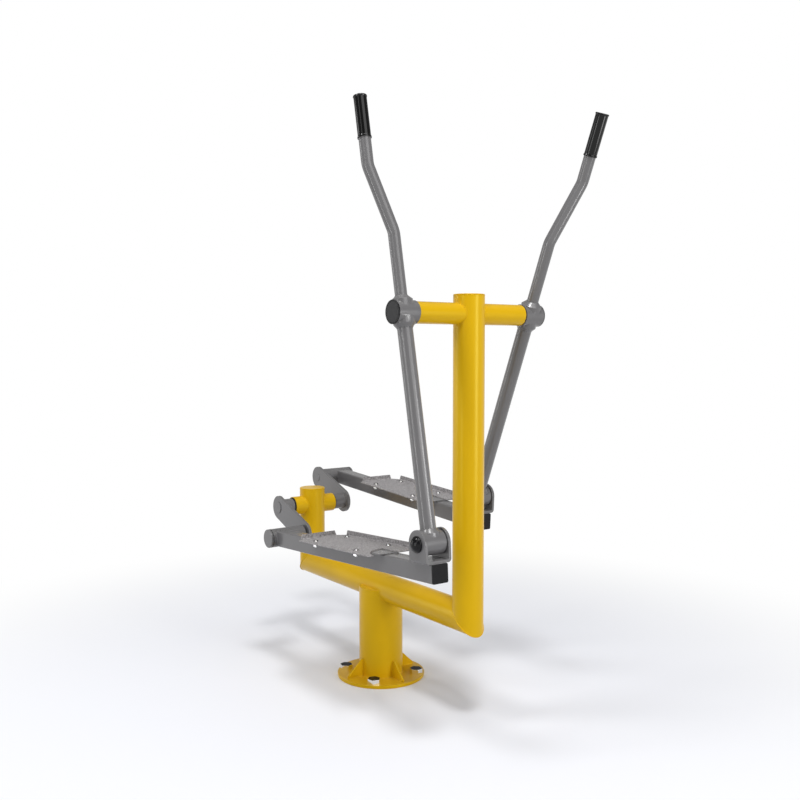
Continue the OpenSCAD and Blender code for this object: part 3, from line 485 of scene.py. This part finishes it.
# The anchor nuts: plated cap nuts on the studs in the ground, bright on the flanks, with flat tops
# painted black as a painted dark reflection. They are screwed down straight onto the flange.
nut_chrome = bpy.data.materials.new("nut_chrome")
nut_chrome.use_nodes = True
nut_tree = nut_chrome.node_tree
nut_surface = nut_tree.nodes["Principled BSDF"]
nut_surface.inputs["Specular IOR Level"].default_value = 0.08
nut_face = nut_tree.nodes.new("ShaderNodeNewGeometry")
nut_split = nut_tree.nodes.new("ShaderNodeSeparateXYZ")
# Mask of the up-facing tops, where a painted dark reflection replaces the chrome.
nut_top_painted_reflection = nut_tree.nodes.new("ShaderNodeMapRange")
nut_top_painted_reflection.inputs["From Min"].default_value = 0.85
nut_top_painted_reflection.inputs["From Max"].default_value = 0.97
# A is the chrome; B is the painted black reflection on the tops, which are also made non-metal.
nut_colour = nut_tree.nodes.new("ShaderNodeMix")
nut_colour.data_type = "RGBA"
nut_colour.inputs["A"].default_value = (0.93, 0.93, 0.92, 1.0)
nut_colour.inputs["B"].default_value = (0.012, 0.012, 0.013, 1.0)
nut_metal = nut_tree.nodes.new("ShaderNodeMath")
nut_metal.operation = "SUBTRACT"
nut_metal.inputs[0].default_value = 1.0
nut_grain = nut_tree.nodes.new("ShaderNodeTexNoise")
nut_grain.inputs["Scale"].default_value = 300.0
nut_rough = nut_tree.nodes.new("ShaderNodeMapRange")
nut_rough.inputs["To Min"].default_value = 0.06
nut_rough.inputs["To Max"].default_value = 0.18
nut_tree.links.new(nut_face.outputs["Normal"], nut_split.inputs["Vector"])
nut_tree.links.new(nut_split.outputs["Z"], nut_top_painted_reflection.inputs["Value"])
nut_tree.links.new(nut_top_painted_reflection.outputs["Result"], nut_colour.inputs["Factor"])
nut_tree.links.new(nut_top_painted_reflection.outputs["Result"], nut_metal.inputs[1])
nut_tree.links.new(nut_grain.outputs["Fac"], nut_rough.inputs["Value"])
nut_tree.links.new(nut_colour.outputs["Result"], nut_surface.inputs["Base Color"])
nut_tree.links.new(nut_metal.outputs["Value"], nut_surface.inputs["Metallic"])
nut_tree.links.new(nut_rough.outputs["Result"], nut_surface.inputs["Roughness"])
soft_edged("anchor_nuts", 0.0010, nut_chrome, "frame", 22.0)

# The axles, shafts and bearings that the levers, bars and crank turn on: turned and ground steel,
# mostly hidden in their barrels, with fine turning marks that run round them.
turned = bpy.data.node_groups.new("turned_steel", "ShaderNodeTree")
for socket_name, socket_kind, socket_value in (
    ("Colour", "NodeSocketColor", (0.6, 0.6, 0.6, 1.0)),
    ("Marks", "NodeSocketFloat", 600.0),
):
    socket = turned.interface.new_socket(socket_name, in_out="INPUT", socket_type=socket_kind)
    socket.default_value = socket_value
turned.interface.new_socket("Colour", in_out="OUTPUT", socket_type="NodeSocketColor")
turned.interface.new_socket("Roughness", in_out="OUTPUT", socket_type="NodeSocketFloat")
turned.interface.new_socket("Height", in_out="OUTPUT", socket_type="NodeSocketFloat")
turned_in = turned.nodes.new("NodeGroupInput")
turned_out = turned.nodes.new("NodeGroupOutput")
turned_place = turned.nodes.new("ShaderNodeTexCoord")
turned_squash = turned.nodes.new("ShaderNodeMapping")
turned_squash.inputs["Scale"].default_value = (1.0, 0.04, 0.04)
turned_marks = turned.nodes.new("ShaderNodeTexNoise")
turned_cloud = turned.nodes.new("ShaderNodeTexNoise")
turned_cloud.inputs["Scale"].default_value = 60.0
turned_tone = turned.nodes.new("ShaderNodeMix")
turned_tone.data_type = "RGBA"
turned_tone.blend_type = "MULTIPLY"
turned_tone.inputs["Factor"].default_value = 0.18
turned_rough = turned.nodes.new("ShaderNodeMapRange")
turned_rough.inputs["To Min"].default_value = 0.22
turned_rough.inputs["To Max"].default_value = 0.42
turned.links.new(turned_place.outputs["Object"], turned_squash.inputs["Vector"])
turned.links.new(turned_squash.outputs["Vector"], turned_marks.inputs["Vector"])
turned.links.new(turned_in.outputs["Marks"], turned_marks.inputs["Scale"])
turned.links.new(turned_place.outputs["Object"], turned_cloud.inputs["Vector"])
turned.links.new(turned_in.outputs["Colour"], turned_tone.inputs["A"])
turned.links.new(turned_cloud.outputs["Color"], turned_tone.inputs["B"])
turned.links.new(turned_cloud.outputs["Fac"], turned_rough.inputs["Value"])
turned.links.new(turned_tone.outputs["Result"], turned_out.inputs["Colour"])
turned.links.new(turned_rough.outputs["Result"], turned_out.inputs["Roughness"])
turned.links.new(turned_marks.outputs["Fac"], turned_out.inputs["Height"])


def machined(name, colour, marks):
    """Bare or plated steel with fine marks round its axis."""
    metal = bpy.data.materials.new(name)
    metal.use_nodes = True
    tree = metal.node_tree
    surface = tree.nodes["Principled BSDF"]
    surface.inputs["Metallic"].default_value = 1.0
    finish = tree.nodes.new("ShaderNodeGroup")
    finish.node_tree = turned
    finish.inputs["Colour"].default_value = (*colour, 1.0)
    finish.inputs["Marks"].default_value = marks
    relief = tree.nodes.new("ShaderNodeBump")
    relief.inputs["Distance"].default_value = 0.00002
    tree.links.new(finish.outputs["Colour"], surface.inputs["Base Color"])
    tree.links.new(finish.outputs["Roughness"], surface.inputs["Roughness"])
    tree.links.new(finish.outputs["Height"], relief.inputs["Height"])
    tree.links.new(relief.outputs["Normal"], surface.inputs["Normal"])
    return metal


zinc_steel = machined("zinc_steel", (0.74, 0.75, 0.76), 900.0)
bearing_steel = machined("bearing_steel", (0.52, 0.53, 0.54), 500.0)
for node in ("hub_axles", "axle_nuts", "crank_shaft", "crank_keys"):
    finished(node, zinc_steel)
finished("crank_bearings", bearing_steel)
for side_name in ("left", "right"):
    for part in ("hub_bearings", "knuckle_bearings", "bush_bearings"):
        finished(side_name + "_" + part, bearing_steel)
    for part in ("spindle", "clevis_bolt"):
        finished(side_name + "_" + part, zinc_steel)

# Rubber lip seals where the crank, the crossbar and the bars meet their barrels: matt black rings,
# pressed in between the painted faces.
seal_rubber = coated("seal_rubber", (0.014, 0.014, 0.014), 0.2, 0.55, 0.01, 0.00004, 0.2)
finished("shaft_seals", seal_rubber)
for side_name in ("left", "right"):
    finished(side_name + "_bar_seals", seal_rubber)

# The crank: two flat arms on the shaft's ends, each with a turned boss welded to its inner face
# and the root of a spindle welded into its far end, all coated in the same grey as the levers.
grey_coat = coated("grey_coat", (0.146, 0.143, 0.146), 0.05, 0.20, 0.05, 0.000006, 0.5)
soft_edged("left_crank_arm", 0.0010, grey_coat, "crank")
soft_edged("right_crank_arm", 0.0010, grey_coat, "crank")
soft_edged("crank_end_screws", 0.0007, grey_coat, "crank")
soft_edged("spindle_roots", 0.0005, grey_coat, "crank")
crank_middle = Vector((0.0, post_y, crank_z))
crank_reach = 0.190
arm_face_x = 0.127
boss_r = 0.027
root_r = 0.0125
crank_bead = 0.0014
crank_runs = []
for side, lean in ((-1, 200.0), (1, 20.0)):
    boss_run = []
    root_run = []
    out_y, out_z = turn(lean, crank_reach)
    for a in range(0, 360, 12):
        dy, dz = turn(a, boss_r)
        boss_run.append(crank_middle + Vector((side * arm_face_x, dy, dz)))
        dy, dz = turn(a, root_r)
        root_run.append(crank_middle + Vector((side * arm_face_x, out_y + dy, out_z + dz)))
    crank_runs.append((boss_run, True))
    crank_runs.append((root_run, True))
weld_bead("crank_welds", crank_runs, crank_bead, grey_coat, "crank")

# The two levers: a turned hub on the crossbar's axle, a bent handle tube above it and a straight
# tube below, down to the knuckle that carries the foot bar. Grey coat over welded tube ends, a
# glossy black sleeve on each handle and a snapped-in cap on each hub.
grip_rubber = coated("grip_rubber", (0.003, 0.003, 0.003), 0.15, 0.12, 0.01, 0.000004, 0.30)
black_plastic = coated("black_plastic", (0.006, 0.006, 0.007), 0.15, 0.10, 0.01, 0.000004, 0.22)
cap_grey = coated("cap_grey", (0.026, 0.026, 0.027), 0.08, 0.40, 0.01, 0.00002, 0.14)
side_x = 0.226
lever_swing = {"left": -11.25497, "right": 22.18544}
lever_reach = 0.608
knuckle_top = 0.0355
handle_r = 0.0173
tube_foot_r = 0.0217
lever_rings = ((0.0435, handle_r), (-0.0425, tube_foot_r), (knuckle_top - lever_reach, tube_foot_r))
lever_bead = 0.0011
cap_out = 0.035
cap_sunk = 0.0008
cap_steps = 64
cap_crown = ((0.0, 0.0006), (0.020, 0.0006), (0.0278, 0.00055), (0.0295, 0.0))
for side_name, side in (("left", -1), ("right", 1)):
    body = side_name + "_lever"
    hub_place = Matrix.Translation((side * side_x, -post_y, crossbar_z)) @ Matrix.Rotation(
        math.radians(lever_swing[side_name]), 4, "X")
    soft_edged(side_name + "_hub", 0.0010, grey_coat, body)
    soft_edged(side_name + "_knuckle", 0.0010, grey_coat, body)
    soft_edged(side_name + "_hub_cap", 0.0008, black_plastic, body)
    finished(side_name + "_lever_tube", grey_coat)
    finished(side_name + "_handle", grey_coat)
    finished(side_name + "_grip", grip_rubber)
    joint_runs = []
    for ring_z, ring_r in lever_rings:
        joint_runs.append(([hub_place @ Vector((*turn(a, ring_r), ring_z))
                            for a in range(0, 360, 12)], True))
    weld_bead(side_name + "_lever_welds", joint_runs, lever_bead, grey_coat, body)
    cap_face = bmesh.new()
    rings = []
    for r, x in cap_crown:
        steps = 1 if r == 0.0 else cap_steps
        rings.append([cap_face.verts.new(hub_place @ Vector(
            (side * (cap_out - cap_sunk + x), *turn(360.0 * k / steps, r))))
            for k in range(steps)])
    for k in range(cap_steps):
        n = (k + 1) % cap_steps
        cap_face.faces.new((rings[0][0], rings[1][k], rings[1][n]))
        for inner, outer in ((rings[1], rings[2]), (rings[2], rings[3])):
            cap_face.faces.new((inner[k], outer[k], outer[n], inner[n]))
    bmesh.ops.recalc_face_normals(cap_face, faces=cap_face.faces)
    for face in cap_face.faces:
        face.smooth = True
    face_mesh = bpy.data.meshes.new(side_name + "_hub_cap_face")
    cap_face.to_mesh(face_mesh)
    cap_face.free()
    face_mesh.materials.append(cap_grey)
    face_piece = bpy.data.objects.new(side_name + "_hub_cap_face", face_mesh)
    bpy.context.scene.collection.objects.link(face_piece)
    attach(face_piece, body)

# The foot bars: square tube with a plastic plug in front and a turned bush welded across the rear
# end. A folded clevis stands on the bar's top and takes the lever's knuckle on a bolt, under a
# glossy black dome.
bar_tilt = {"left": -3.3875375, "right": 3.3206837}
bar_pivot = {"left": (-side_x, -0.558667, 0.553693), "right": (side_x, -0.210416, 0.587012)}
bar_drop = 0.075
bar_half = 0.025
bush_y = 0.826
bush_r = 0.03015
clevis_half_x = 0.024
clevis_half_y = 0.0365
bar_bead = 0.0015
for side_name, side in (("left", -1), ("right", 1)):
    body = side_name + "_bar"
    bar_place = Matrix.Translation(bar_pivot[side_name]) @ Matrix.Rotation(
        math.radians(bar_tilt[side_name]), 4, "X")
    finished(side_name + "_foot_bar", grey_coat)
    soft_edged(side_name + "_clevis", 0.0010, grey_coat, body)
    soft_edged(side_name + "_rear_bush", 0.0010, grey_coat, body)
    soft_edged(side_name + "_bush_cap", 0.0012, grey_coat, body)
    soft_edged(side_name + "_black_caps", 0.0012, black_plastic, body)
    around = []
    for x, z in ((-1, -1), (-1, -0.5), (-1, 0), (-1, 0.5), (-1, 1), (-0.5, 1), (0.5, 1), (1, 1),
                 (1, 0.5), (1, 0), (1, -0.5), (1, -1), (0.5, -1), (-0.5, -1)):
        reach = math.sqrt(bush_r ** 2 - (z * bar_half) ** 2)
        around.append(bar_place @ Vector((x * bar_half, bush_y - reach, z * bar_half - bar_drop)))
    bar_runs = [([bar_place @ Vector((x * clevis_half_x, y * clevis_half_y, bar_half - bar_drop))
                  for x in (-1, 1)], False) for y in (-1, 1)]
    bar_runs.append((around, True))
    weld_bead(side_name + "_bar_welds", bar_runs, bar_bead, grey_coat, body)

# The foot plates: folded sheet with a light grey, gritty anti-slip coat, on two straps welded
# across the bar. Four bolts hold each, with heads scuffed dull by shoes and bright nuts below.
grit = bpy.data.materials.new("plate_coat")
grit.use_nodes = True
grit_tree = grit.node_tree
grit_surface = grit_tree.nodes["Principled BSDF"]
grit_place = grit_tree.nodes.new("ShaderNodeTexCoord")
grit_grain = grit_tree.nodes.new("ShaderNodeTexVoronoi")
grit_grain.inputs["Scale"].default_value = 420.0
grit_clumps = grit_tree.nodes.new("ShaderNodeTexNoise")
grit_clumps.inputs["Scale"].default_value = 210.0
grit_clumps.inputs["Detail"].default_value = 5.0
grit_clumps.inputs["Roughness"].default_value = 0.75
grit_ramp = grit_tree.nodes.new("ShaderNodeValToRGB")
grit_ramp.color_ramp.elements[0].position = 0.40
grit_ramp.color_ramp.elements[0].color = (0.14, 0.13, 0.132, 1.0)
grit_ramp.color_ramp.elements[1].position = 0.60
grit_ramp.color_ramp.elements[1].color = (0.42, 0.405, 0.41, 1.0)
grit_relief = grit_tree.nodes.new("ShaderNodeBump")
grit_relief.inputs["Strength"].default_value = 0.8
grit_relief.inputs["Distance"].default_value = 0.0004
grit_surface.inputs["Roughness"].default_value = 0.55
grit_tree.links.new(grit_place.outputs["Object"], grit_grain.inputs["Vector"])
grit_tree.links.new(grit_place.outputs["Object"], grit_clumps.inputs["Vector"])
grit_tree.links.new(grit_clumps.outputs["Fac"], grit_ramp.inputs["Fac"])
grit_tree.links.new(grit_ramp.outputs["Color"], grit_surface.inputs["Base Color"])
grit_tree.links.new(grit_grain.outputs["Distance"], grit_relief.inputs["Height"])
grit_tree.links.new(grit_relief.outputs["Normal"], grit_surface.inputs["Normal"])
zinc_colour = (0.86, 0.87, 0.88)
bright_zinc = machined("bright_zinc", zinc_colour, 700.0)
bolt_tree = bright_zinc.node_tree
bolt_face = bolt_tree.nodes.new("ShaderNodeNewGeometry")
bolt_split = bolt_tree.nodes.new("ShaderNodeSeparateXYZ")
bolt_head = bolt_tree.nodes.new("ShaderNodeMapRange")
bolt_head.inputs["From Min"].default_value = 0.2
bolt_head.inputs["From Max"].default_value = 0.5
bolt_colour = bolt_tree.nodes.new("ShaderNodeMix")
bolt_colour.data_type = "RGBA"
bolt_colour.inputs["A"].default_value = (*zinc_colour, 1.0)
bolt_colour.inputs["B"].default_value = (0.22, 0.215, 0.215, 1.0)
bolt_tree.links.new(bolt_face.outputs["Normal"], bolt_split.inputs["Vector"])
bolt_tree.links.new(bolt_split.outputs["Z"], bolt_head.inputs["Value"])
bolt_tree.links.new(bolt_head.outputs["Result"], bolt_colour.inputs["Factor"])
bolt_tree.links.new(bolt_colour.outputs["Result"], bolt_tree.nodes["Group"].inputs["Colour"])
for side_name in ("left", "right"):
    body = side_name + "_bar"
    soft_edged(side_name + "_foot_plate", 0.0007, grit, body)
    soft_edged(side_name + "_plate_straps", 0.0005, grey_coat, body)
    soft_edged(side_name + "_plate_bolts", 0.0004, bright_zinc, body)
